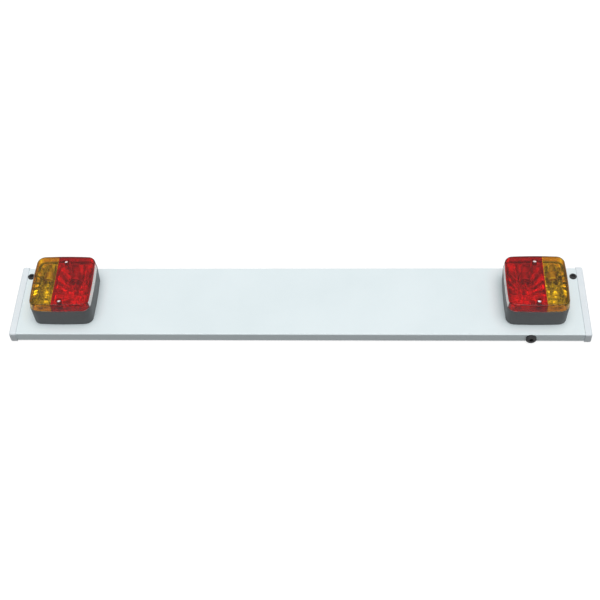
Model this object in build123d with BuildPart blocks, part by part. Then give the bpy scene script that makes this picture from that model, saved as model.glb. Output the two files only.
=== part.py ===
from build123d import *
import os
from math import cos, pi

# Trailer lighting board, lying face up: X runs along the board, Y towards its upper edge in use,
# Z out of its face. The origin is under the middle of the board, on the plane that it lies on.

# Board: an extruded channel with returned lips, closed by two pushed-on end caps
overall_length = 914.0
channel_height = 135.0
channel_depth = 16.5
channel_wall = 2.4
channel_lip = 14.0
channel_corner_radius = 1.6
channel_inner_radius = 0.6

cap_wall = 1.5
cap_sleeve = 10.8
cap_end_wall = 2.5
cap_end_radius = 3.0
cap_plug_wall = 1.6
cap_plug_length = 7.0
cap_fit = 0.15

# Strap holes in the upper corners and the cable outlet in the lower flange, lined with rubber grommets
strap_hole_inset = 17.0
strap_hole_drop = 18.2
strap_hole_radius = 4.0
strap_bore_radius = 3.2
strap_flange_radius = 5.8
strap_flange_height = 1.7
strap_inner_radius = 5.0
strap_inner_height = 1.4

outlet_inset = 93.7
outlet_hole_radius = 4.6
outlet_bore_radius = 3.2
outlet_flange_radius = 8.2
outlet_flange_height = 4.4
outlet_inner_height = 2.0

rubber_fit = 0.15
rubber_bevel = 0.8

# Lamps: bowed square outline, shared by base, seal and lens
lamp_inset = 84.4
lamp_rise = 2.2
lens_width = 98.2
lens_depth = 104.0
lens_bow = 1.7
lens_corner_radius = 14.0
lens_height = 13.5
lens_taper = 6.0
lens_wall = 2.2
lens_edge_radius = 3.0
amber_width = 37.2
window_length = 78.0
window_height = 11.0
window_drop = 3.0

base_overhang = 0.2
base_height = 33.8
base_draft = 2.2
base_rim = 2.8
base_ledge = 1.2
base_floor = 2.5
base_foot_bevel = 1.0
ledge_drop = 2.9
seal_thickness = 1.2
seal_setback = 0.3

# Lens screws, in wells of the lens, driven into pillars of the base
screw_inset = 12.0
screw_radius = 1.95
screw_length = 16.0
screw_head_radius = 3.0
screw_head_height = 2.0
screw_head_bevel = 0.7
screw_slot_width = 1.0
screw_slot_depth = 0.9
screw_well_radius = 3.5
screw_well_depth = 4.4
screw_fit = 0.2
boss_radius = 4.6
boss_floor = 2.2
pillar_radius = 4.0
pilot_depth = 15.0

# Lamp bolts, held by their heads in pockets of the base, with washers and nuts behind the board
bolt_spacing = 45.0
bolt_radius = 2.5
bolt_head_flats = 8.0
bolt_head_height = 3.5
bolt_tail = 1.6
bolt_fit = 0.3
bolt_boss_radius = 7.5
bolt_boss_height = 4.5
washer_radius = 6.0
washer_thickness = 1.0
nut_flats = 8.0
nut_height = 4.0

# Wire entry of each lamp, through its base and the board
entry_drop = 22.0
entry_hole_radius = 5.0
entry_bore_radius = 2.6
entry_flange_radius = 6.2
entry_flange_height = 1.5
entry_inner_height = 2.0
entry_board_fit = 0.3

# Reflector: a rim on the base's ledge, a dish with four sloping sides for each bulb, a wall between the
# two colours and sleeves that the pillars of the base pass through
reflector_wall = 1.5
reflector_fit = 0.3
dish_gap = 1.9
dish_floor = 9.5
dish_floor_width = 15.0
dish_floor_length = 66.0
dish_floor_cut = 3.0
dish_corner_cut = 9.0
divider_thickness = 1.6
divider_gap = 0.5
divider_top_gap = 0.5
pillar_gap = 0.5
sleeve_wall = 1.2

# Bulbs lie along Y in sockets that sheet metal brackets carry
bulb_rise = 26.5
bracket_rise = 13.0
bracket_thickness = 1.5
bracket_width = 20.0
bracket_stem = 11.0
bracket_foot = 9.0
socket_radius = 8.5
socket_wall = 0.6
socket_length = 16.0
socket_fit = 0.2
collar_radius = 10.0
collar_height = 1.0
slot_width = 2.6
slot_length = 10.2
cap_radius = 7.5
cap_length = 19.0
cap_lip = 2.0
pin_radius = 1.0
pin_reach = 0.8
pin_depth = 9.0
tip_radius = 3.0
tip_height = 1.5
glass_radius = 11.5
glass_length = 33.5
neck_radius = 6.6
neck_length = 2.0
shoulder_length = 9.0
contact_thickness = 0.8
contact_width = 8.0
contact_foot = 5.0
contact_over = 4.0

# Places worked out from the sizes above
back_z = cap_wall + cap_fit
face_z = back_z + channel_depth
middle_z = back_z + channel_depth / 2
channel_length = overall_length - 2 * (cap_end_wall + cap_fit)
strap_x = overall_length / 2 - strap_hole_inset
strap_y = channel_height / 2 - strap_hole_drop
outlet_inner_radius = channel_depth / 2 - channel_wall - channel_inner_radius - rubber_fit
outlet_x = overall_length / 2 - outlet_inset
lamp_x = overall_length / 2 - lamp_inset
base_width = lens_width + 2 * base_overhang
base_depth = lens_depth + 2 * base_overhang
ledge_z = base_height - ledge_drop
lens_z = base_height + seal_thickness
lens_top = lens_z + lens_height
pillar_top = lens_top - screw_well_depth - boss_floor
screw_y = lens_depth / 2 - screw_inset
colour_line = lens_width / 2 - amber_width
dish_inset = base_rim + base_ledge + reflector_wall + dish_gap
dish_reach_x = base_width / 2 - dish_inset
dish_depth = base_depth - 2 * dish_inset
divider_side = divider_thickness / 2 + divider_gap
amber_dish = (colour_line + divider_side, dish_reach_x)
red_dish = (-dish_reach_x, colour_line - divider_side)
indicator_offset = sum(amber_dish) / 2
stop_offset = sum(red_dish) / 2
sides = (("left", -1), ("right", 1))

os.makedirs("parts", exist_ok=True)


def save(piece, name):
    """Labels a finished piece and writes it under its own name."""
    piece.part.label = name
    export_step(piece.part, f"parts/{name}.step")


def lamp_plane(side, height=0.0):
    """Plane across one lamp, centred on it, at a height above the board's face."""
    return Plane(origin=(side * lamp_x, lamp_rise, face_z + height))


def lamp_spots(offset):
    """The same place in both lamps, measured outwards from the lamp's middle, as distances along X."""
    return [side * (lamp_x + offset) for _, side in sides]


def bowed_square(inset):
    """Outline of the lamp base, drawn in by an inset: four sides bowed outwards and rounded corners."""
    bow = lens_bow
    half_x = base_width / 2 - inset - bow
    half_y = base_depth / 2 - inset - bow
    with BuildSketch() as outline:
        with BuildLine():
            ThreePointArc((-half_x, -half_y), (0, -half_y - bow), (half_x, -half_y))
            ThreePointArc((half_x, -half_y), (half_x + bow, 0), (half_x, half_y))
            ThreePointArc((half_x, half_y), (0, half_y + bow), (-half_x, half_y))
            ThreePointArc((-half_x, half_y), (-half_x - bow, 0), (-half_x, -half_y))
        make_face()
        fillet(outline.vertices(), lens_corner_radius + base_overhang - inset)
    return outline.sketch


base_outline = bowed_square(0)
lens_outline = bowed_square(base_overhang)
lens_hollow = bowed_square(base_overhang + lens_wall)
seal_outline = bowed_square(base_overhang + seal_setback)
seal_hollow = bowed_square(base_overhang + lens_wall - seal_setback)
rim_hollow = bowed_square(base_rim)
ledge_hollow = bowed_square(base_rim + base_ledge)
reflector_outline = bowed_square(base_rim + reflector_fit)

# The channel: front wall, two flanges and lips that return along the open back
with BuildPart() as board_channel:
    with BuildSketch(Plane.YZ.offset(-channel_length / 2)):
        with Locations((0, middle_z)):
            RectangleRounded(channel_height, channel_depth, channel_corner_radius)
            RectangleRounded(
                channel_height - 2 * channel_wall,
                channel_depth - 2 * channel_wall,
                channel_inner_radius,
                mode=Mode.SUBTRACT,
            )
        with Locations((0, back_z)):
            Rectangle(channel_height - 2 * channel_lip, 2 * channel_wall, mode=Mode.SUBTRACT)
    extrude(amount=channel_length)
    with Locations((-strap_x, strap_y, face_z), (strap_x, strap_y, face_z)):
        Hole(strap_hole_radius, depth=2 * channel_wall)
    for _, side in sides:
        with Locations(lamp_plane(side)):
            with GridLocations(bolt_spacing, 0, 2, 1):
                Hole(bolt_radius + bolt_fit, depth=2 * channel_wall)
            with Locations((0, -entry_drop)):
                Hole(entry_flange_radius + entry_board_fit, depth=2 * channel_wall)
    with Locations(Plane((outlet_x, -channel_height / 2, middle_z), x_dir=(1, 0, 0), z_dir=(0, -1, 0))):
        Hole(outlet_hole_radius, depth=2 * channel_wall)
save(board_channel, "board_channel")


def build_end_cap(side):
    """A cup that sleeves the channel's end, with a plug inside the channel that holds it on."""
    cap_corner_radius = channel_corner_radius + cap_fit + cap_wall
    with BuildPart() as cap:
        with BuildSketch(Plane.YZ.offset(side * (overall_length / 2 - cap_sleeve))):
            with Locations((0, middle_z)):
                RectangleRounded(
                    channel_height + 2 * (cap_fit + cap_wall),
                    channel_depth + 2 * (cap_fit + cap_wall),
                    cap_corner_radius,
                )
        extrude(amount=side * cap_sleeve)
        end_face = cap.faces().sort_by(Axis.X)[-1 if side > 0 else 0]
        fillet(end_face.edges(), min(cap_end_radius, 0.9 * cap_corner_radius))
        with BuildSketch(Plane.YZ.offset(side * (overall_length / 2 - cap_sleeve))):
            with Locations((0, middle_z)):
                RectangleRounded(
                    channel_height + 2 * cap_fit,
                    channel_depth + 2 * cap_fit,
                    channel_corner_radius + cap_fit,
                )
        extrude(amount=side * (cap_sleeve - cap_end_wall), mode=Mode.SUBTRACT)
        plug_height = channel_height - 2 * (channel_wall + cap_fit)
        plug_depth = channel_depth - 2 * (channel_wall + cap_fit)
        with BuildSketch(Plane.YZ.offset(side * (overall_length / 2 - cap_end_wall))):
            with Locations((0, middle_z)):
                RectangleRounded(plug_height, plug_depth, channel_inner_radius)
                Rectangle(
                    plug_height - 2 * cap_plug_wall,
                    plug_depth - 2 * cap_plug_wall,
                    mode=Mode.SUBTRACT,
                )
        extrude(amount=-side * cap_plug_length)
    return cap


def build_grommet(seat, spots, wall, hole_radius, bore_radius, outer, inner):
    """Rubber rings snapped into round holes of one wall.

    The seat is the wall's outer face, and outer and inner are each flange's radius and height."""
    with BuildPart() as grommet:
        with BuildSketch(seat):
            with Locations(*spots):
                Circle(outer[0])
        extrude(amount=outer[1])
        outer_faces = grommet.faces().group_by(Axis(seat.origin, seat.z_dir))[-1]
        chamfer(outer_faces.edges(), min(rubber_bevel, 0.6 * outer[1]))
        with BuildSketch(seat):
            with Locations(*spots):
                Circle(hole_radius - rubber_fit)
        extrude(amount=-wall)
        with BuildSketch(seat.offset(-wall)):
            with Locations(*spots):
                Circle(inner[0])
        extrude(amount=-inner[1])
        with BuildSketch(seat.offset(outer[1])):
            with Locations(*spots):
                Circle(bore_radius)
        extrude(amount=-(outer[1] + wall + inner[1]), mode=Mode.SUBTRACT)
    return grommet


for name, side in sides:
    save(build_end_cap(side), f"{name}_end_cap")
    strap_grommet = build_grommet(
        Plane((side * strap_x, strap_y, face_z)),
        [(0, 0)],
        channel_wall,
        strap_hole_radius,
        strap_bore_radius,
        (strap_flange_radius, strap_flange_height),
        (strap_inner_radius, strap_inner_height),
    )
    save(strap_grommet, f"{name}_strap_grommet")

outlet_grommet = build_grommet(
    Plane((outlet_x, -channel_height / 2, middle_z), x_dir=(1, 0, 0), z_dir=(0, -1, 0)),
    [(0, 0)],
    channel_wall,
    outlet_hole_radius,
    outlet_bore_radius,
    (outlet_flange_radius, outlet_flange_height),
    (outlet_inner_radius, outlet_inner_height),
)
save(outlet_grommet, "cable_outlet_grommet")

entry_grommets = build_grommet(
    Plane((0, lamp_rise - entry_drop, face_z + base_floor)),
    [(x, 0) for x in lamp_spots(0)],
    base_floor,
    entry_hole_radius,
    entry_bore_radius,
    (entry_flange_radius, entry_flange_height),
    (entry_flange_radius, entry_inner_height),
)
save(entry_grommets, "lamp_wire_grommets")


def build_lamp_base(side):
    """Dark moulded tray: a reflector ledge, pillars for the screws, pockets for the bolt heads."""
    with BuildPart() as base:
        with BuildSketch(lamp_plane(side, base_height)):
            add(base_outline)
        extrude(amount=-base_height, taper=base_draft)
        chamfer(base.edges().group_by(Axis.Z)[0], base_foot_bevel)
        with BuildSketch(lamp_plane(side, base_floor)):
            add(ledge_hollow)
        extrude(amount=ledge_z - base_floor, mode=Mode.SUBTRACT)
        with BuildSketch(lamp_plane(side, ledge_z)):
            add(rim_hollow)
        extrude(amount=ledge_drop, mode=Mode.SUBTRACT)
        with BuildSketch(lamp_plane(side, base_floor)):
            with GridLocations(0, 2 * screw_y, 1, 2):
                Circle(pillar_radius)
        extrude(amount=pillar_top - base_floor)
        with BuildSketch(lamp_plane(side, base_floor)):
            with GridLocations(bolt_spacing, 0, 2, 1):
                Circle(bolt_boss_radius)
                RegularPolygon(
                    bolt_head_flats / 2 + bolt_fit, 6, major_radius=False, mode=Mode.SUBTRACT
                )
        extrude(amount=bolt_boss_height)
        with Locations(lamp_plane(side, pillar_top)):
            with GridLocations(0, 2 * screw_y, 1, 2):
                Hole(screw_radius + screw_fit, depth=pilot_depth)
        with Locations(lamp_plane(side, base_floor)):
            with GridLocations(bolt_spacing, 0, 2, 1):
                Hole(bolt_radius + bolt_fit, depth=base_floor)
            with Locations((0, -entry_drop)):
                Hole(entry_hole_radius, depth=base_floor)
    return base


def build_lens_seal(side):
    """Flat rubber ring between the base's rim and the lens."""
    with BuildPart() as seal:
        with BuildSketch(lamp_plane(side, base_height)):
            add(seal_outline)
            add(seal_hollow, mode=Mode.SUBTRACT)
        extrude(amount=seal_thickness)
    return seal


def build_lens(side):
    """The whole lens before its colours part: a rounded cover with two screw bosses."""
    with BuildPart() as lens:
        with BuildSketch(lamp_plane(side, lens_z)):
            add(lens_outline)
        extrude(amount=lens_height, taper=lens_taper)
        fillet(lens.edges().group_by(Axis.Z)[-1], lens_edge_radius)
        with BuildSketch(lamp_plane(side, lens_z)):
            add(lens_hollow)
        extrude(amount=lens_height - lens_wall, taper=lens_taper, mode=Mode.SUBTRACT)
        with BuildSketch(lamp_plane(side, pillar_top)):
            with GridLocations(0, 2 * screw_y, 1, 2):
                Circle(boss_radius)
        extrude(amount=lens_top - pillar_top - lens_wall / 2)
        with Locations(lamp_plane(side, lens_top)):
            with GridLocations(0, 2 * screw_y, 1, 2):
                CounterBoreHole(screw_radius + screw_fit, screw_well_radius, screw_well_depth)
    return lens


def build_lens_colours(side):
    """The red lens, the amber lens and the clear window, cut from the whole lens."""
    whole = build_lens(side)
    colour_plane = Plane((side * (lamp_x + colour_line), 0, 0), z_dir=(side, 0, 0))
    window_depth = lens_wall + 2 * lens_bow + lens_edge_radius
    window_x = side * (lamp_x - lens_width / 2 + window_depth / 2)
    window_box = Plane((window_x, lamp_rise - window_drop, face_z + lens_z))
    with BuildPart() as amber:
        add(whole.part)
        split(bisect_by=colour_plane, keep=Keep.TOP)
    with BuildPart() as red:
        add(whole.part)
        split(bisect_by=colour_plane, keep=Keep.BOTTOM)
        with BuildSketch(window_box):
            Rectangle(window_depth, window_length)
        extrude(amount=window_height, mode=Mode.SUBTRACT)
    with BuildPart() as window:
        add(whole.part)
        with BuildSketch(window_box):
            Rectangle(window_depth, window_length)
        extrude(amount=window_height, mode=Mode.INTERSECT)
    return red, amber, window


def build_reflector(side):
    """Moulded tray on the base's ledge: two four-sided dishes, a dividing wall and two pillar sleeves."""
    rim_z = ledge_z + reflector_wall
    divider_length = lens_depth - 2 * (lens_wall + lens_edge_radius)
    with BuildPart() as reflector:
        with BuildSketch(lamp_plane(side, ledge_z)):
            add(reflector_outline)
        extrude(amount=reflector_wall)
        for wall, mode in ((reflector_wall, Mode.ADD), (0.0, Mode.SUBTRACT)):
            for low, high in (amber_dish, red_dish):
                middle = (side * (low + high) / 2, 0)
                with BuildSketch(lamp_plane(side, rim_z)) as mouth:
                    with Locations(middle):
                        Rectangle(high - low + 2 * wall, dish_depth + 2 * wall)
                    chamfer(mouth.vertices(), dish_corner_cut + wall / 2)
                with BuildSketch(lamp_plane(side, dish_floor - wall)) as floor:
                    with Locations(middle):
                        Rectangle(dish_floor_width + 2 * wall, dish_floor_length + 2 * wall)
                    chamfer(floor.vertices(), dish_floor_cut + wall / 2)
                loft(ruled=True, mode=mode)
        with BuildSketch(lamp_plane(side, rim_z)):
            with Locations((side * colour_line, 0)):
                Rectangle(divider_thickness, divider_length)
        extrude(amount=lens_top - lens_wall - divider_top_gap - rim_z)
        with BuildSketch(lamp_plane(side, dish_floor)):
            with GridLocations(0, 2 * screw_y, 1, 2):
                Circle(pillar_radius + pillar_gap + sleeve_wall)
        extrude(amount=pillar_top - pillar_gap - dish_floor)
        with BuildSketch(lamp_plane(side, 0)):
            with GridLocations(0, 2 * screw_y, 1, 2):
                Circle(pillar_radius + pillar_gap)
        extrude(amount=lens_top, mode=Mode.SUBTRACT)
    return reflector


def build_bracket(x):
    """Bent sheet metal: a ring that carries one socket, on a stem with a foot on the dish's floor."""
    upright = Plane((x, lamp_rise + bracket_rise, face_z), x_dir=(1, 0, 0), z_dir=(0, -1, 0))
    with BuildPart() as bracket:
        with BuildSketch(upright):
            with Locations((0, bulb_rise)):
                Circle(bracket_width / 2)
            with Locations((0, (dish_floor + bulb_rise) / 2)):
                Rectangle(bracket_stem, bulb_rise - dish_floor)
            with Locations((0, bulb_rise)):
                Circle(socket_radius + socket_fit, mode=Mode.SUBTRACT)
        extrude(amount=-bracket_thickness)
        with BuildSketch(Plane((x, lamp_rise + bracket_rise + bracket_foot / 2, face_z + dish_floor))):
            Rectangle(bracket_stem, bracket_foot)
        extrude(amount=bracket_thickness)
    return bracket


def build_contact(x):
    """Springy strip behind one bulb: an upright that its tip bears on, and a foot on the dish's floor."""
    strip_y = lamp_rise + bracket_rise - collar_height - cap_lip + cap_length + tip_height
    with BuildPart() as contact:
        with BuildSketch(Plane((x, strip_y + contact_thickness / 2, face_z + dish_floor))):
            Rectangle(contact_width, contact_thickness)
        extrude(amount=bulb_rise - dish_floor + contact_over)
        with BuildSketch(Plane((x, strip_y - contact_foot / 2, face_z + dish_floor))):
            Rectangle(contact_width, contact_foot)
        extrude(amount=contact_thickness)
    return contact


def socket_plane(distance):
    """Plane across the bulbs of both lamps, facing their tips, at a distance past the brackets' front."""
    return Plane(
        (0, lamp_rise + bracket_rise + distance, face_z + bulb_rise), x_dir=(1, 0, 0), z_dir=(0, 1, 0)
    )


def build_sockets(spots):
    """Metal tubes with a collar on the bracket and a slot each side for the bulb's pins."""
    with BuildPart() as sockets:
        with BuildSketch(socket_plane(-collar_height)):
            with Locations(*[(x, 0) for x in spots]):
                Circle(collar_radius)
        extrude(amount=collar_height)
        with BuildSketch(socket_plane(-collar_height)):
            with Locations(*[(x, 0) for x in spots]):
                Circle(socket_radius)
        extrude(amount=socket_length)
        with BuildSketch(socket_plane(-collar_height)):
            with Locations(*[(x, 0) for x in spots]):
                Circle(socket_radius - socket_wall)
        extrude(amount=socket_length, mode=Mode.SUBTRACT)
        with BuildSketch(socket_plane(-collar_height)):
            with Locations(*[(x, 0) for x in spots]):
                Rectangle(2 * collar_radius, slot_width)
        extrude(amount=slot_length, mode=Mode.SUBTRACT)
    return sockets


def build_bulb_caps(spots):
    """Metal caps of the bulbs, each with two pins and a contact tip."""
    front = -collar_height - cap_lip
    with BuildPart() as caps:
        with BuildSketch(socket_plane(front)):
            with Locations(*[(x, 0) for x in spots]):
                Circle(cap_radius)
        extrude(amount=cap_length)
        with BuildSketch(socket_plane(front + cap_length)):
            with Locations(*[(x, 0) for x in spots]):
                Circle(tip_radius)
        extrude(amount=tip_height)
        for x in spots:
            pin_place = (lamp_rise + bracket_rise + front + pin_depth, face_z + bulb_rise)
            with BuildSketch(Plane.YZ.offset(x)):
                with Locations(pin_place):
                    Circle(pin_radius)
            extrude(amount=cap_radius + pin_reach, both=True)
    return caps


def build_bulb_glasses(spots):
    """Glasses of the bulbs, turned about Y: a neck, a shoulder, a straight part and a round end."""
    cap_front = lamp_rise + bracket_rise - collar_height - cap_lip
    shoulder_y = -neck_length - shoulder_length
    round_y = glass_radius - glass_length
    half_turn = cos(pi / 4)
    with BuildPart() as glasses:
        for x in spots:
            middle = (x, cap_front, face_z + bulb_rise)
            with BuildSketch(Plane(middle)):
                with BuildLine():
                    Polyline(
                        (0, round_y - glass_radius),
                        (0, 0),
                        (neck_radius, 0),
                        (neck_radius, -neck_length),
                        (glass_radius, shoulder_y),
                        (glass_radius, round_y),
                    )
                    ThreePointArc(
                        (glass_radius, round_y),
                        (glass_radius * half_turn, round_y - glass_radius * half_turn),
                        (0, round_y - glass_radius),
                    )
                make_face()
            revolve(axis=Axis(middle, (0, 1, 0)))
    return glasses


for name, side in sides:
    save(build_lamp_base(side), f"{name}_lamp_base")
    save(build_lens_seal(side), f"{name}_lens_seal")
    red, amber, window = build_lens_colours(side)
    save(red, f"{name}_lens_red")
    save(amber, f"{name}_lens_amber")
    save(window, f"{name}_plate_window")
    save(build_reflector(side), f"{name}_reflector")
    for use, offset in (("indicator", indicator_offset), ("stop", stop_offset)):
        bulb_x = side * (lamp_x + offset)
        save(build_bracket(bulb_x), f"{name}_{use}_bracket")
        save(build_contact(bulb_x), f"{name}_{use}_contact")

for use, offset in (("indicator", indicator_offset), ("stop", stop_offset)):
    save(build_sockets(lamp_spots(offset)), f"{use}_sockets")
    save(build_bulb_caps(lamp_spots(offset)), f"{use}_bulb_caps")
    save(build_bulb_glasses(lamp_spots(offset)), f"{use}_bulb_glasses")

# Fasteners of both lamps, four of each
bolt_shift = bolt_spacing / 2
bolt_spots = [(x + shift, lamp_rise) for x in lamp_spots(0) for shift in (-bolt_shift, bolt_shift)]
screw_spots = [(x, lamp_rise + shift) for x in lamp_spots(0) for shift in (-screw_y, screw_y)]
screw_seat = face_z + lens_top - screw_well_depth
wall_back = face_z - channel_wall
nut_seat = wall_back - washer_thickness
bolt_end = nut_seat - nut_height - bolt_tail

with BuildPart() as lens_screws:
    with BuildSketch(Plane.XY.offset(screw_seat)):
        with Locations(*screw_spots):
            Circle(screw_head_radius)
    extrude(amount=screw_head_height)
    chamfer(lens_screws.edges().group_by(Axis.Z)[-1], screw_head_bevel)
    with BuildSketch(Plane.XY.offset(screw_seat + screw_head_height)):
        with Locations(*screw_spots):
            Rectangle(2 * screw_head_radius, screw_slot_width)
    extrude(amount=-screw_slot_depth, mode=Mode.SUBTRACT)
    with BuildSketch(Plane.XY.offset(screw_seat)):
        with Locations(*screw_spots):
            Circle(screw_radius)
    extrude(amount=-screw_length)
save(lens_screws, "lens_screws")

with BuildPart() as lamp_bolts:
    with BuildSketch(Plane.XY.offset(face_z + base_floor)):
        with Locations(*bolt_spots):
            RegularPolygon(bolt_head_flats / 2, 6, major_radius=False)
    extrude(amount=bolt_head_height)
    with BuildSketch(Plane.XY.offset(bolt_end)):
        with Locations(*bolt_spots):
            Circle(bolt_radius)
    extrude(amount=face_z + base_floor - bolt_end)
save(lamp_bolts, "lamp_bolts")

with BuildPart() as lamp_washers:
    with BuildSketch(Plane.XY.offset(nut_seat)):
        with Locations(*bolt_spots):
            Circle(washer_radius)
            Circle(bolt_radius + bolt_fit, mode=Mode.SUBTRACT)
    extrude(amount=washer_thickness)
save(lamp_washers, "lamp_washers")

with BuildPart() as lamp_nuts:
    with BuildSketch(Plane.XY.offset(nut_seat)):
        with Locations(*bolt_spots):
            RegularPolygon(nut_flats / 2, 6, major_radius=False)
            Circle(bolt_radius + bolt_fit, mode=Mode.SUBTRACT)
    extrude(amount=-nut_height)
save(lamp_nuts, "lamp_nuts")
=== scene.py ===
# %% [markdown]
# # A trailer lighting board
#
# The board is a white plastic channel with an end cap on each end. It carries two square lamps, each with a
# red and an amber lens. CAD has already made every solid to its real size. This lesson loads those solids,
# gives each one a finish, adds the thin glass and wires that CAD leaves plain, and lights the whole thing.

import bpy
import numpy as np
from mathutils import Matrix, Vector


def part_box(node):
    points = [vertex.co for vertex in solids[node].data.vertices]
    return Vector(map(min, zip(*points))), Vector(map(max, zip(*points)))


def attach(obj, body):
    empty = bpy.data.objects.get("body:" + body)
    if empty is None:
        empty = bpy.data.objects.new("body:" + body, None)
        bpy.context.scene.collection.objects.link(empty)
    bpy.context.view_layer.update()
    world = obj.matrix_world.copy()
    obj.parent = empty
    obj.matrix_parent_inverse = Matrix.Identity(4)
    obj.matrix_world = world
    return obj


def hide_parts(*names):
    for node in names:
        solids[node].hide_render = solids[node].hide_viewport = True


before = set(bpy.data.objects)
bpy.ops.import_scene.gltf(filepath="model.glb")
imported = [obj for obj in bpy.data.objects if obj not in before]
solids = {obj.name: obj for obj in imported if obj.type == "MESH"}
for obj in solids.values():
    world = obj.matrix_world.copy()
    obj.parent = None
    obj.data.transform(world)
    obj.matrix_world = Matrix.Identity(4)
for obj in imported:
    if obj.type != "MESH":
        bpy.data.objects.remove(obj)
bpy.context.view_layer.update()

# %% [markdown]
# ## The camera
#
# A camera could be dragged about until the picture looks right. Here its numbers come from the board's own
# edges instead: where the long edges meet the frame fixes the height of the view, and how much the far edge
# shrinks fixes the distance. The camera looks down at about 52 degrees, from a little right of the middle,
# and it is rolled by 3 degrees.

# %% Where the camera stands
view_height, view_side, view_roll = np.radians([51.65, 4.16, -3.25])
looked_at = np.array([0.0011, 0.0140, 0.00195])
view_distance = 1.922

backward = np.array([
    np.sin(view_side) * np.cos(view_height),
    -np.cos(view_side) * np.cos(view_height),
    np.sin(view_height),
])
level_right = np.cross(-backward, (0.0, 0.0, 1.0))
level_right /= np.linalg.norm(level_right)
level_up = np.cross(level_right, -backward)
rolled_right = level_right * np.cos(view_roll) + level_up * np.sin(view_roll)
rolled_up = level_up * np.cos(view_roll) - level_right * np.sin(view_roll)
camera_place = looked_at + backward * view_distance
print("camera stands at", camera_place.round(3))

# %% Make the camera
picture_side = 600.0
focal_pixels = 1189.0
sensor_side = 36.0
nearest_seen = 0.05


def stand(thing, right, up, away, place):
    """Puts a camera or a lamp into the scene by its three axes and its place.

    Both look along their own minus Z, so away is the direction that they have behind them."""
    turned_to = np.eye(4)
    turned_to[:3] = np.column_stack([right, up, away, place])
    thing.matrix_world = Matrix(turned_to.tolist())
    bpy.context.scene.collection.objects.link(thing)


camera_data = bpy.data.cameras.new("board_camera")
camera_data.sensor_width = sensor_side
camera_data.lens = focal_pixels / picture_side * sensor_side
camera_data.clip_start = nearest_seen
camera = bpy.data.objects.new("board_camera", camera_data)
stand(camera, rolled_right, rolled_up, backward, camera_place)
bpy.context.scene.camera = camera
print("camera lens", round(camera_data.lens, 2), "mm")

# %% [markdown]
# ## Small helpers for node trees
#
# A finish is a tree of nodes. Adding a node, setting its options and joining its inputs takes several lines
# each time, so one helper does all three: a value that is a socket gets a link, and any other value is
# written on the input itself. Sums, changes of range and bumps come up most, so each has a short form.

# %% Helpers for nodes
def add_node(tree, kind, values=None, **options):
    """Adds a node, sets its options, and links or writes each of its inputs."""
    made = tree.nodes.new(kind)
    for option, choice in options.items():
        setattr(made, option, choice)
    for place, value in (values or {}).items():
        if isinstance(value, bpy.types.NodeSocket):
            tree.links.new(value, made.inputs[place])
        else:
            made.inputs[place].default_value = value
    return made


def maths(tree, kind, *terms):
    """The result of one sum: kind names it, and its terms are numbers or sockets."""
    return add_node(tree, "ShaderNodeMath", dict(enumerate(terms)), operation=kind).outputs[0]


def rescaled(tree, value, old=(0.0, 1.0), new=(0.0, 1.0)):
    """Carries a value from an old range over to a new one in proportion, and holds it inside the new one."""
    return add_node(tree, "ShaderNodeMapRange", {
        "Value": value, "From Min": old[0], "From Max": old[1], "To Min": new[0], "To Max": new[1],
    }).outputs[0]


def raised(tree, height, depth, under=None):
    """A bump: a pattern of heights times a depth in metres, laid over another bump where there is one."""
    values = {"Height": height, "Strength": 1.0, "Distance": depth}
    if under is not None:
        values["Normal"] = under
    return add_node(tree, "ShaderNodeBump", values).outputs[0]


def rgba(red, green, blue):
    """A colour with full cover."""
    return (red, green, blue, 1.0)


print("helpers for nodes ready")

# %% Helpers for groups and finishes
FLOAT, VECTOR, COLOUR = "NodeSocketFloat", "NodeSocketVector", "NodeSocketColor"


def start_group(name, takes, gives):
    """An empty shader node group with named inputs, each with its default, and named outputs."""
    group = bpy.data.node_groups.new(name, "ShaderNodeTree")
    for label, (kind, default) in takes.items():
        socket = group.interface.new_socket(label, in_out="INPUT", socket_type=kind)
        if default is not None:
            socket.default_value = default
    for label, kind in gives.items():
        group.interface.new_socket(label, in_out="OUTPUT", socket_type=kind)
    entry = group.nodes.new("NodeGroupInput")
    leave = group.nodes.new("NodeGroupOutput")
    return group, entry.outputs, leave.inputs


def start_finish(name):
    """A material with one Principled shader, whose patterns read Object coordinates."""
    finish = bpy.data.materials.new(name)
    finish.use_nodes = True
    tree = finish.node_tree
    tree.nodes.clear()
    shader = add_node(tree, "ShaderNodeBsdfPrincipled")
    add_node(tree, "ShaderNodeOutputMaterial", {"Surface": shader.outputs[0]})
    place = add_node(tree, "ShaderNodeTexCoord").outputs["Object"]
    return finish, tree, shader, place


print("helpers for groups and finishes ready")

# %% [markdown]
# ## Three effects that many finishes share
#
# Moulded plastic is never one flat colour. Three effects come up again and again: a fine grain from the
# mould, a slow drift of shade from handling and age, and the long faint lines that an extrusion die leaves.
# Each is a node group that puts out only values, so that every finish can use them with numbers of its own.

# %% Effect: mould grain
mould_grain, grain_in, grain_out = start_group(
    "mould_grain",
    {"Place": (VECTOR, None), "Grains per metre": (FLOAT, 900.0)},
    {"Height": FLOAT},
)
grain_noise = add_node(
    mould_grain,
    "ShaderNodeTexNoise",
    {"Vector": grain_in["Place"], "Scale": grain_in["Grains per metre"], "Detail": 3.0, "Roughness": 0.55},
)
mould_grain.links.new(grain_noise.outputs["Fac"], grain_out["Height"])
print("effect:", mould_grain.name)

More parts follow.
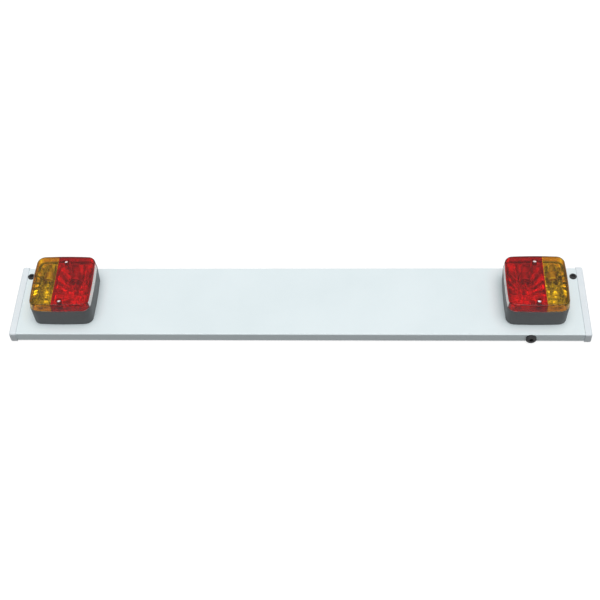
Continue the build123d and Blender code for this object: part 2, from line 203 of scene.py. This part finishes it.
# %% Effect: slow drift of shade
shade_drift, drift_in, drift_out = start_group(
    "shade_drift",
    {
        "Place": (VECTOR, None),
        "Patches per metre": (FLOAT, 12.0),
        "Shade": (COLOUR, rgba(0.5, 0.5, 0.5)),
        "Other shade": (COLOUR, rgba(0.6, 0.6, 0.6)),
    },
    {"Colour": COLOUR, "Mask": FLOAT},
)
drift_noise = add_node(
    shade_drift,
    "ShaderNodeTexNoise",
    {"Vector": drift_in["Place"], "Scale": drift_in["Patches per metre"], "Detail": 5.0, "Roughness": 0.6},
)
drift_mask = rescaled(shade_drift, drift_noise.outputs["Fac"], old=(0.32, 0.68))
drift_mix = add_node(
    shade_drift,
    "ShaderNodeMix",
    {0: drift_mask, 6: drift_in["Shade"], 7: drift_in["Other shade"]},
    data_type="RGBA",
)
shade_drift.links.new(drift_mix.outputs[2], drift_out["Colour"])
shade_drift.links.new(drift_mask, drift_out["Mask"])
print("effect:", shade_drift.name)

# %% Effect: lines of the extrusion
die_lines_per_metre = 260.0
drawn_out = (0.004, 1.0, 1.0)

extrusion_lines, lines_in, lines_out = start_group(
    "extrusion_lines",
    {"Place": (VECTOR, None), "Lines per metre": (FLOAT, die_lines_per_metre)},
    {"Height": FLOAT},
)
stretched = add_node(
    extrusion_lines, "ShaderNodeVectorMath", {0: lines_in["Place"], 1: drawn_out}, operation="MULTIPLY"
)
lines_noise = add_node(
    extrusion_lines,
    "ShaderNodeTexNoise",
    {
        "Vector": stretched.outputs[0],
        "Scale": lines_in["Lines per metre"],
        "Detail": 4.0,
        "Roughness": 0.65,
    },
)
extrusion_lines.links.new(lines_noise.outputs["Fac"], lines_out["Height"])
print("effect:", extrusion_lines.name)

# %% [markdown]
# ## Opaque plastics and rubber
#
# The board, its caps, the lamp bases and the rubber rings are all one family: a drifting colour, a roughness
# that drifts with it, and a grain that only the bump shows. Each could be a material drawn by hand. One
# function builds the whole family instead, and each finish gets its own shades and grain.

# %% Helpers for opaque finishes
plastic_index = 1.5


def drifting(tree, shader, place, shade, other_shade, patches, gloss):
    """Mixes two shades by the drift's mask, and carries the same mask over to the roughness.

    patches is their number in a metre, and gloss the lowest and highest roughness."""
    drift = add_node(tree, "ShaderNodeGroup", {
        "Place": place,
        "Patches per metre": patches,
        "Shade": rgba(*shade),
        "Other shade": rgba(*other_shade),
    }, node_tree=shade_drift)
    tree.links.new(drift.outputs["Colour"], shader.inputs["Base Color"])
    tree.links.new(rescaled(tree, drift.outputs["Mask"], new=gloss), shader.inputs["Roughness"])


def grain_height(tree, place, grains):
    """The height of the mould grain, with that many grains in a metre."""
    values = {"Place": place, "Grains per metre": grains}
    return add_node(tree, "ShaderNodeGroup", values, node_tree=mould_grain).outputs["Height"]


def moulded_finish(name, shade, other_shade, patches, gloss, grains, grain_depth, line_depth=0.0):
    """Opaque plastic: shade and roughness drift together, and grain and lines stand in the bump.

    The depths are in metres."""
    finish, tree, shader, place = start_finish(name)
    drifting(tree, shader, place, shade, other_shade, patches, gloss)
    bump = raised(tree, grain_height(tree, place, grains), grain_depth)
    if line_depth:
        values = {"Place": place, "Lines per metre": die_lines_per_metre}
        drawn = add_node(tree, "ShaderNodeGroup", values, node_tree=extrusion_lines)
        bump = raised(tree, drawn.outputs["Height"], line_depth, under=bump)
    tree.links.new(bump, shader.inputs["Normal"])
    shader.inputs["IOR"].default_value = plastic_index
    return finish


print("helpers for opaque finishes ready")

# %% Plastics and rubber
finishes = {
    "board_white": moulded_finish(
        "extruded_white", shade=(0.758, 0.840, 0.860), other_shade=(0.788, 0.866, 0.886), patches=9.0,
        gloss=(0.34, 0.46), grains=1400.0, grain_depth=0.00002, line_depth=0.00006,
    ),
    "cap_white": moulded_finish(
        "moulded_white", shade=(0.75, 0.81, 0.845), other_shade=(0.79, 0.84, 0.87), patches=40.0,
        gloss=(0.38, 0.5), grains=1800.0, grain_depth=0.00003,
    ),
    "black_rubber": moulded_finish(
        "soft_rubber", shade=(0.008, 0.008, 0.010), other_shade=(0.018, 0.018, 0.020), patches=160.0,
        gloss=(0.55, 0.75), grains=3200.0, grain_depth=0.00006,
    ),
    "lamp_black": moulded_finish(
        "charcoal_moulding", shade=(0.072, 0.075, 0.078), other_shade=(0.094, 0.098, 0.101), patches=55.0,
        gloss=(0.45, 0.6), grains=2600.0, grain_depth=0.00005,
    ),
}
seal_rubber = moulded_finish(
    "seal_rubber", shade=(0.42, 0.42, 0.42), other_shade=(0.48, 0.48, 0.475), patches=160.0,
    gloss=(0.55, 0.75), grains=3200.0, grain_depth=0.00006,
)
print("plastics and rubber:", sorted(finishes), "and the seals' own grey")

# %% [markdown]
# ## Metals
#
# Screws, bolts and brackets are zinc plated steel, and the sockets and bulb caps are dull brass. What tells
# them apart from a mirror is a slightly cloudy surface, so the roughness drifts over it and a fine grain
# breaks up the reflections. The zinc comes as two copies: a darker one, painted shaded, for the brackets
# inside the lamps and every other zinc part, and a lighter one, painted lit, for the lens screws in the open.
# The brass is painted darker than plain dull brass, as shade on the sockets inside the lamps.

# %% Metals
plating_grains = 4000.0
plating_depth = 0.00001


def plated_finish(name, shade, other_shade, patches, gloss, metal=1.0, relief=None, relief_depth=0.0):
    """Plated metal: the tint and the roughness of the plating drift together.

    metal is less than one for a thin coat that the plastic under it shows through. relief gives the height
    of a moulded pattern, from minus one to one, and relief_depth is its size in metres."""
    finish, tree, shader, place = start_finish(name)
    drifting(tree, shader, place, shade, other_shade, patches, gloss)
    bump = raised(tree, grain_height(tree, place, plating_grains), plating_depth)
    if relief:
        bump = raised(tree, relief(tree, place), relief_depth, under=bump)
    tree.links.new(bump, shader.inputs["Normal"])
    shader.inputs["Metallic"].default_value = metal
    return finish


# painted shade: this zinc is darkened for the shade on the brackets inside the lamps, and every other zinc
# part shares it
finishes["zinc_steel"] = plated_finish(
    "zinc_painted_shaded", shade=(0.46, 0.47, 0.49), other_shade=(0.60, 0.60, 0.60), patches=220.0, gloss=(0.24, 0.4)
)
# dull brass, and partly painted shade: darker than plain brass, so the sockets inside read as shaded
finishes["socket_brass"] = plated_finish(
    "dull_brass_and_painted_shade", shade=(0.30, 0.22, 0.11), other_shade=(0.42, 0.32, 0.17), patches=180.0, gloss=(0.3, 0.46)
)
# painted light: the same zinc made lighter for the lens screws, which sit in the light
zinc_painted_lit = plated_finish(
    "zinc_painted_lit", shade=(0.74, 0.75, 0.76), other_shade=(0.86, 0.86, 0.85), patches=220.0, gloss=(0.26, 0.4)
)
print("metals: zinc plating, dull brass, bright zinc")

# %% [markdown]
# ## The fluted reflector
#
# The reflectors are plastic with a silver coat. A plain white would light the lens evenly, and a mirror would
# leave most of it dark, so this coat is mostly metal and lets a little of the pale plastic through. Shallow
# flutes fan out from each bulb over the dishes. They spread the bulb's light, and from outside they are what
# breaks the lens into bright and dark streaks. The lens hides their true outline and shows only that play of
# light, so the flutes are a relief in the coat: a wave of the direction seen from the bulb, which a node for
# the arc tangent gives.

# %% Where the flutes lie
flutes_in_turn = 10
flute_depth = 0.0018
flutes_grow = (0.004, 0.016)
rim_under_seal = 0.0005
fan_below_cap = 0.006

bulb_boxes = {use: np.array(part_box(use + "_bulb_glasses")) for use in ("indicator", "stop")}
dish_middles = {use: high[0] - (high[2] - low[2]) / 2 for use, (low, high) in bulb_boxes.items()}
colour_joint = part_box("right_lens_amber")[0].x
rim_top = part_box("right_lens_seal")[0].z - rim_under_seal
fan_y = bulb_boxes["stop"][1][1] - fan_below_cap
print("flutes fan out from", {use: round(x, 4) for use, x in dish_middles.items()}, "m along the board")


# %% Silvered reflector
def dish_flutes(tree, place):
    """Height of the flutes: the cosine of ten times the direction from the bulb.

    The dish is the amber one beyond the joint of the colours and the red one before it, on either lamp. The
    wave grows from nothing near the bulb and runs out over the rim. What stands above the rim is plain."""
    axes = add_node(tree, "ShaderNodeSeparateXYZ", {0: place}).outputs
    either_lamp = maths(tree, "ABSOLUTE", axes["X"])
    beyond = maths(tree, "GREATER_THAN", either_lamp, colour_joint)
    step = dish_middles["indicator"] - dish_middles["stop"]
    middle = maths(tree, "MULTIPLY_ADD", beyond, step, dish_middles["stop"])
    across = maths(tree, "SUBTRACT", either_lamp, middle)
    along = maths(tree, "SUBTRACT", axes["Y"], fan_y)
    direction = maths(tree, "ARCTAN2", along, across)
    wave = maths(tree, "COSINE", maths(tree, "MULTIPLY", direction, flutes_in_turn))
    squares = [maths(tree, "MULTIPLY", way, way) for way in (across, along)]
    reach = maths(tree, "SQRT", maths(tree, "ADD", *squares))
    grown = maths(tree, "MULTIPLY", wave, rescaled(tree, reach, old=flutes_grow))
    return maths(tree, "MULTIPLY", grown, maths(tree, "LESS_THAN", axes["Z"], rim_top))


finishes["reflector_silver"] = plated_finish(
    "silvered_reflector", shade=(0.80, 0.80, 0.79), other_shade=(0.90, 0.90, 0.89), patches=60.0,
    gloss=(0.10, 0.18), metal=0.93, relief=dish_flutes, relief_depth=flute_depth,
)
print("reflector:", flutes_in_turn, "flutes in a turn,", flute_depth, "m deep")

# %% [markdown]
# ## Clear window and the bulbs' glass
#
# Clear plastic and glass bend the light that goes through them. Plain see-through colour would be quicker to
# work out, but it would lose the thickness of a wall. Bending glass stops a lamp's direct rays, so for those
# shadow rays alone the shader turns into a plain coloured film. The window at the inner end of each lamp is
# frosted, so most of its light is scattered and only a small share goes straight through.

# %% Clear plastics and glass
acrylic_index = 1.49
glass_index = 1.5
cloud_grains = 70.0
cloud_range = (0.3, 0.7)


def clear_finish(name, tint, film, haze, index, shine=1.0, clearness=1.0):
    """See-through plastic or glass, with a roughness that wanders between the two values of haze.

    tint is the dye's colour through one wall, and film the colour that a wall gives to lamp light.
    shine scales the mirror image seen straight on, and clearness is the share of light let through."""
    finish, tree, shader, place = start_finish(name)
    surface = shader.outputs[0].links[0].to_socket
    shader.inputs["Base Color"].default_value = rgba(*tint)
    shader.inputs["Transmission Weight"].default_value = clearness
    shader.inputs["IOR"].default_value = index
    shader.inputs["Specular Tint"].default_value = rgba(shine, shine, shine)
    cloud = grain_height(tree, place, cloud_grains)
    tree.links.new(rescaled(tree, cloud, old=cloud_range, new=haze), shader.inputs["Roughness"])
    lamp_film = add_node(tree, "ShaderNodeBsdfTransparent", {"Color": rgba(*film)})
    paths = add_node(tree, "ShaderNodeLightPath")
    choice = add_node(tree, "ShaderNodeMixShader", {
        0: paths.outputs["Is Shadow Ray"], 1: shader.outputs[0], 2: lamp_film.outputs[0],
    })
    tree.links.new(choice.outputs[0], surface)
    return finish, tree, shader, place


finishes["window_clear"] = clear_finish(
    "frosted_window", tint=(0.96, 0.96, 0.93), film=(0.9, 0.9, 0.88), haze=(0.25, 0.4),
    index=acrylic_index, clearness=0.15,
)[0]
finishes["bulb_glass"] = clear_finish(
    "thin_glass", tint=(0.97, 0.98, 0.98), film=(0.96, 0.96, 0.96), haze=(0.0, 0.01), index=glass_index
)[0]
print("clear finishes: window and bulb glass")

# %% [markdown]
# ## Coloured lenses
#
# The lenses are clear plastic, dyed through. Light goes in through the lens, bounces off the reflector and
# comes out again, so the colour is strong and the parts inside show as blurred shapes. The side walls get a
# deeper dye, partly for the thicker plastic seen edge on and partly as painted shade where the reflector's
# rim lies in shadow behind them. The underside of the lens has shallow moulded ripples, weaker in the red,
# and their bump works only in the thin layer where that underside lies.

# %% Coloured lenses
lens_haze = (0.06, 0.12)
lens_shine = 0.4
lens_thickness = 0.0022
wall_starts, wall_full = 0.0065, 0.003
ripples_per_metre = 110.0
ripple_layer = 0.0003

lens_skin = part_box("left_lens_red")[1].z
right_lens = np.array([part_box("right_lens_red")[0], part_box("right_lens_amber")[1]])
lens_middle = right_lens.mean(axis=0)[:2]
lens_half = (right_lens[1] - right_lens[0])[:2] / 2


def dye_lens(name, tint, wall_dye_and_shade, film, ripple_depth):
    """A clear finish whose side walls are painted a deeper dye, partly as shade, with ripples on the
    underside.

    A point is in a side wall where its distance from the lamp's middle, along X or along Y, is near the
    largest. The ripples are a sine along X plus a sine along Y, kept to a layer 0.6 mm thick."""
    finish, tree, shader, place = clear_finish(name, tint, film, lens_haze, acrylic_index, lens_shine)
    axes = add_node(tree, "ShaderNodeSeparateXYZ", {0: place}).outputs
    either_lamp = maths(tree, "ABSOLUTE", axes["X"])
    walls = []
    for reach, middle, half in zip((either_lamp, axes["Y"]), lens_middle, lens_half):
        offset = maths(tree, "ABSOLUTE", maths(tree, "SUBTRACT", reach, middle))
        walls.append(rescaled(tree, offset, old=(half - wall_starts, half - wall_full)))
    # the deeper dye in the walls is partly painted shade, darkening the rim where the reflector's edge lies
    # in shadow
    wall = maths(tree, "MAXIMUM", *walls)
    dye = add_node(
        tree, "ShaderNodeMix", {0: wall, 6: rgba(*tint), 7: rgba(*wall_dye_and_shade)}, data_type="RGBA"
    )
    tree.links.new(dye.outputs[2], shader.inputs["Base Color"])
    turns = [maths(tree, "MULTIPLY", axes[axis], ripples_per_metre * 2 * np.pi) for axis in "XY"]
    both = maths(tree, "ADD", *[maths(tree, "SINE", turn) for turn in turns])
    layer = maths(tree, "COMPARE", axes["Z"], lens_skin - lens_thickness, ripple_layer)
    ripple = maths(tree, "MULTIPLY", both, layer)
    tree.links.new(raised(tree, ripple, ripple_depth), shader.inputs["Normal"])
    return finish


# wall tints: deeper dye for the thicker plastic at the rim, and partly painted shade
finishes["lens_red"] = dye_lens(
    "red_dye", tint=(0.82, 0.012, 0.010), wall_dye_and_shade=(0.32, 0.004, 0.005), film=(0.93, 0.2, 0.18),
    ripple_depth=0.00002,
)
finishes["lens_amber"] = dye_lens(
    "amber_dye", tint=(0.90, 0.66, 0.012), wall_dye_and_shade=(0.44, 0.18, 0.005), film=(0.94, 0.82, 0.25),
    ripple_depth=0.00005,
)
print("lenses: red and amber dye, outer skin at", round(lens_skin, 4), "m")

# %% [markdown]
# ## Finishes onto the solids
#
# The record that came with the solids names the finish of each one, so dressing them is a matter of looking
# each name up and writing the finish into the solid's own slot. Two kinds have a finish of their own. The
# lens screws sit in the open and get the zinc painted lighter, as lit, while the brackets inside keep the
# zinc painted darker, as shaded. The seals under the lenses are a greyer rubber than the rings in the board.

# %% Dress the solids
# the lens screws take the zinc painted lit, and the seals their own grey
own_finish = {"lens_screws": zinc_painted_lit, "left_lens_seal": seal_rubber, "right_lens_seal": seal_rubber}
for name, solid in solids.items():
    slot_name = solid.data.materials[0].name
    solid.data.materials[0] = own_finish.get(name, finishes[slot_name])
used_finishes = {solid.data.materials[0].name for solid in solids.values()}
print("solids dressed:", len(solids), "finishes used:", len(used_finishes))

# %% [markdown]
# ## Surfaces from rings
#
# The bulbs' glass is turned, and their wires are drawn. Both are rings of points laid one after the other, so
# one helper can skin them: a circle that changes its radius gives the glass, and a circle carried along a
# path gives a wire. Whole arrays are worked out at once, which is quicker and easier to check than moving
# single points.

# %% Helpers for surfaces
def skin_rings(rings, first, last):
    """Joins rings of points into a closed skin.

    Neighbouring rings are joined by four-sided faces, and one point closes each end like a fan. The rings run
    anticlockwise as seen from the end that they lead to, so the faces point outwards."""
    rows, sides, _ = rings.shape
    points = np.vstack([[first], rings.reshape(-1, 3), [last]])
    here = 1 + np.arange(rows * sides).reshape(rows, sides)
    beside = np.roll(here, -1, axis=1)
    walls = np.stack([here[:-1], beside[:-1], beside[1:], here[1:]], axis=-1).reshape(-1, 4)
    opening = np.stack([np.zeros(sides, int), beside[0], here[0]], axis=-1)
    closing = np.stack([np.full(sides, len(points) - 1), here[-1], beside[-1]], axis=-1)
    return points, walls, np.vstack([opening, closing])


def turned(along, radius, sides):
    """A profile turned about Y: each place along Y gets a circle of its radius, and the ends are points."""
    angle = np.linspace(0, 2 * np.pi, sides, endpoint=False)
    rings = np.stack(np.broadcast_arrays(
        radius[:, None] * np.sin(angle), along[:, None], radius[:, None] * np.cos(angle)
    ), axis=-1)
    return skin_rings(rings[1:-1], (0, along[0], 0), (0, along[-1], 0))


def carried(path, upright, radius, sides):
    """A circle carried along a path: at each point it stands square to the path's direction.

    upright is a direction square to the path, and direction times upright gives the circle's other axis."""
    angle = np.linspace(0, 2 * np.pi, sides, endpoint=False)[None, :, None]
    sideways = np.cross(path_direction(path), upright)
    rings = path[:, None] + radius * (np.cos(angle) * upright[:, None] + np.sin(angle) * sideways[:, None])
    return skin_rings(rings, path[0], path[-1])


def path_direction(path):
    """Direction of a path at each of its points: the slope from point to point, at length one."""
    slope = np.gradient(path, axis=0)
    return slope / np.linalg.norm(slope, axis=1, keepdims=True)


def smooth_step(share):
    """Rises from nought to one with flat ends: three times the square less twice the cube."""
    return 3 * share ** 2 - 2 * share ** 3


print("helpers for surfaces ready")


# %% Helper for pieces
def add_piece(name, shapes, places, finish):
    """One object from shapes repeated at several places, riding on the board.

    The faces of each copy count on from the points already laid down."""
    points, walls, fans, used = [], [], [], 0
    for place in places:
        for shape_points, shape_walls, shape_fans in shapes:
            points.append(shape_points + place)
            walls.append(shape_walls + used)
            fans.append(shape_fans + used)
            used += len(shape_points)
    faces = np.vstack(walls).tolist() + np.vstack(fans).tolist()
    mesh = bpy.data.meshes.new(name)
    mesh.from_pydata(np.vstack(points).tolist(), [], faces)
    mesh.shade_smooth()
    mesh.materials.append(finish)
    piece = bpy.data.objects.new(name, mesh)
    bpy.context.scene.collection.objects.link(piece)
    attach(piece, "root")
    print(name, "points:", used, "faces:", len(faces))
    return piece


print("helper for pieces ready")

# %% [markdown]
# ## The bulbs' glass
#
# Each bulb is a thin blown bulb of glass on a metal cap, with a glass stem inside that holds the wires. CAD
# gives it as a solid plug of the right outline, which would work like a strong lens. Thin glass only shows
# along its edges, so here the same outline is turned as a shell: out along the outer wall to the neck, and
# back along the inner wall.

# %% Outlines of the glass
neck_length = 0.002
shoulder_length = 0.009
outline_steps = 16
stem_length, stem_tip, stem_flare, stem_steps = 0.0105, 0.0013, 0.0030, 20
bead_size, bead_middle, bead_spread = 0.0009, 0.16, 0.1


def blown_outline(length, radius, neck):
    """Half outline of the glass from its tip to its cap: places along Y and radii.

    The tip is a quarter circle. From the straight part to the neck the radius follows a smooth step."""
    sweep = np.linspace(0, np.pi / 2, outline_steps)
    share = np.linspace(0, 1, outline_steps)
    tip = -length + radius * (1 - np.cos(sweep))
    shoulder = -neck_length - shoulder_length * (1 - share)
    along = np.concatenate([tip, shoulder, [0.0]])
    width = np.concatenate([radius * np.sin(sweep), radius + (neck - radius) * smooth_step(share), [neck]])
    return along, width


def stem_outline():
    """Half outline of the stem from its tip to the cap: places along Y and radii.

    The radius grows with the square of the share passed, and a bell curve near the tip adds a bead."""
    share = np.linspace(0, 1, stem_steps)
    bead = bead_size * np.exp(-((share - bead_middle) / bead_spread) ** 2)
    return -stem_length * (1 - share), stem_tip + stem_flare * share ** 2 + bead


print("glass outline:", 2 * outline_steps + 1, "points; stem outline:", stem_steps, "points")

# %% Bulb glass
glass_wall = 0.0007
neck_radius = 0.0066
glass_sides, stem_sides = 48, 24
bulb_places = {}
for use, (low, high) in bulb_boxes.items():
    radius = (high[2] - low[2]) / 2
    length = high[1] - low[1]
    bulb_places[use] = np.array([
        (x, high[1], low[2] + radius) for x in (low[0] + radius, high[0] - radius)
    ])
    outside = blown_outline(length, radius, neck_radius)
    inside = blown_outline(length - glass_wall, radius - glass_wall, neck_radius - glass_wall)
    there_and_back = [np.concatenate([out, back[::-1]]) for out, back in zip(outside, inside)]
    shell = turned(*there_and_back, glass_sides)
    stem = turned(*stem_outline(), stem_sides)
    glass = add_piece(
        use + "_bulb_shells", [shell, stem], bulb_places[use], finishes["bulb_glass"]
    )
    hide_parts(use + "_bulb_glasses")

# %% [markdown]
# ## Filaments and their wires
#
# Two stiff wires rise from the stem and spread apart, and a fine coil hangs between their ends. The coil
# could be a curve with a bevel, but a circle carried along a helix is exact: the direction from the helix's
# axis to the wire is always square to the wire, so the circle never twists.

# %% Paths of the wires
coil_y, coil_half, coil_radius = -0.0185, 0.0036, 0.0008
coil_turns, coil_steps = 12, 240
lead_foot, lead_gap, lead_steps = -0.007, 0.0011, 24


def coil_path():
    """Path of the coil, and the direction from its axis to the wire.

    X runs evenly from end to end, and Y and Z are the cosine and the sine of the turn. Whatever part of the
    outward direction runs along the wire is taken off it."""
    share = np.linspace(0, 1, coil_steps)
    turn = 2 * np.pi * coil_turns * share
    outwards = np.stack([np.zeros_like(turn), np.cos(turn), np.sin(turn)], axis=-1)
    axis = np.stack(
        [coil_half * (2 * share - 1), np.full_like(share, coil_y), np.zeros_like(share)], axis=-1
    )
    path = outwards * coil_radius + axis
    direction = path_direction(path)
    outwards -= direction * np.sum(outwards * direction, axis=1, keepdims=True)
    return path, outwards / np.linalg.norm(outwards, axis=1, keepdims=True)


def lead_path(hand):
    """Path of one lead from the stem to the coil's end, and the direction square to it.

    Y falls evenly, and the distance from the middle widens by a smooth step."""
    share = np.linspace(0, 1, lead_steps)
    spread = lead_gap + (coil_half - lead_gap) * smooth_step(share)
    path = np.stack([hand * spread, lead_foot + (coil_y - lead_foot) * share, np.zeros_like(share)], axis=-1)
    return path, np.tile((0.0, 0.0, 1.0), (lead_steps, 1))


print("coil:", coil_turns, "turns,", 2 * coil_half, "m long")

# %% Filaments
coil_wire, coil_sides = 0.00016, 8
lead_wire, lead_sides = 0.0003, 10
wires = [carried(*coil_path(), coil_wire, coil_sides)]
wires += [carried(*lead_path(hand), lead_wire, lead_sides) for hand in (-1, 1)]
add_piece(
    "bulb_filaments", wires, np.vstack(list(bulb_places.values())), finishes["zinc_steel"]
)

# %% [markdown]
# ## Floor, light and background
#
# The light is even and comes from almost straight above, as from a ceiling of white cloth: a sun lamp with a
# wide disc gives soft shadows that are the same along the whole board. It leans a little to the right and
# to the front, so the board is shaded more on the left of each lamp and behind it. To the camera the floor
# glows, so that it reads as white paper and still takes the board's shadow, and it throws little light back.

# %% Light
light_from = np.array([0.07, -0.10, 1.0])
light_strength = 2.12
light_disc = np.radians(50.0)

bpy.context.scene.view_settings.view_transform = "Standard"
lamp_data = bpy.data.lights.new("ceiling_light", "SUN")
lamp_data.energy = light_strength
lamp_data.angle = light_disc
light_away = light_from / np.linalg.norm(light_from)
light_right = np.cross((0.0, 1.0, 0.0), light_away)
light_right /= np.linalg.norm(light_right)
ceiling_light = bpy.data.objects.new("ceiling_light", lamp_data)
stand(ceiling_light, light_right, np.cross(light_away, light_right), light_away, np.zeros(3))
print("ceiling light: disc of", round(np.degrees(light_disc)), "degrees")

# %% Background
ambient_strength = 0.32


def seen_share(tree):
    """One for rays from the camera, from mirrors or through glass, and nought for all other rays."""
    paths = add_node(tree, "ShaderNodeLightPath").outputs
    straight = maths(tree, "MAXIMUM", paths["Is Camera Ray"], paths["Is Transmission Ray"])
    return maths(tree, "MAXIMUM", straight, paths["Is Glossy Ray"])


world = bpy.data.worlds.new("studio")
world.use_nodes = True
bpy.context.scene.world = world
sky = world.node_tree
sky.nodes.clear()
ambient = add_node(
    sky, "ShaderNodeBackground", {"Color": rgba(0.95, 0.98, 1.0), "Strength": ambient_strength}
)
white = add_node(sky, "ShaderNodeBackground", {"Color": rgba(1.0, 1.0, 1.0), "Strength": 1.0})
either_sky = add_node(
    sky, "ShaderNodeMixShader", {0: seen_share(sky), 1: ambient.outputs[0], 2: white.outputs[0]}
)
add_node(sky, "ShaderNodeOutputWorld", {"Surface": either_sky.outputs[0]})
print("background: white to the eye, ambient light", ambient_strength)

# %% Floor
floor_half = 8
paper_glow = 0.84

corners = [(x * floor_half, y * floor_half, 0) for x, y in ((-1, -1), (1, -1), (1, 1), (-1, 1))]
floor_mesh = bpy.data.meshes.new("floor")
floor_mesh.from_pydata(corners, [], [(0, 1, 2, 3)])
floor = bpy.data.objects.new("floor", floor_mesh)
bpy.context.scene.collection.objects.link(floor)

paper = bpy.data.materials.new("white_paper")
paper.use_nodes = True
sheet = paper.node_tree
sheet.nodes.clear()
matt = add_node(sheet, "ShaderNodeBsdfDiffuse", {"Color": rgba(0.08, 0.08, 0.08)})
shaded = add_node(sheet, "ShaderNodeBsdfDiffuse", {"Color": rgba(0.25, 0.25, 0.25)})
glow = add_node(sheet, "ShaderNodeEmission", {"Color": rgba(1.0, 1.0, 1.0), "Strength": paper_glow})
bright = add_node(sheet, "ShaderNodeAddShader", {0: shaded.outputs[0], 1: glow.outputs[0]})
either_paper = add_node(
    sheet, "ShaderNodeMixShader", {0: seen_share(sheet), 1: matt.outputs[0], 2: bright.outputs[0]}
)
add_node(sheet, "ShaderNodeOutputMaterial", {"Surface": either_paper.outputs[0]})
floor_mesh.materials.append(paper)
print("floor:", 2 * floor_half, "m wide")
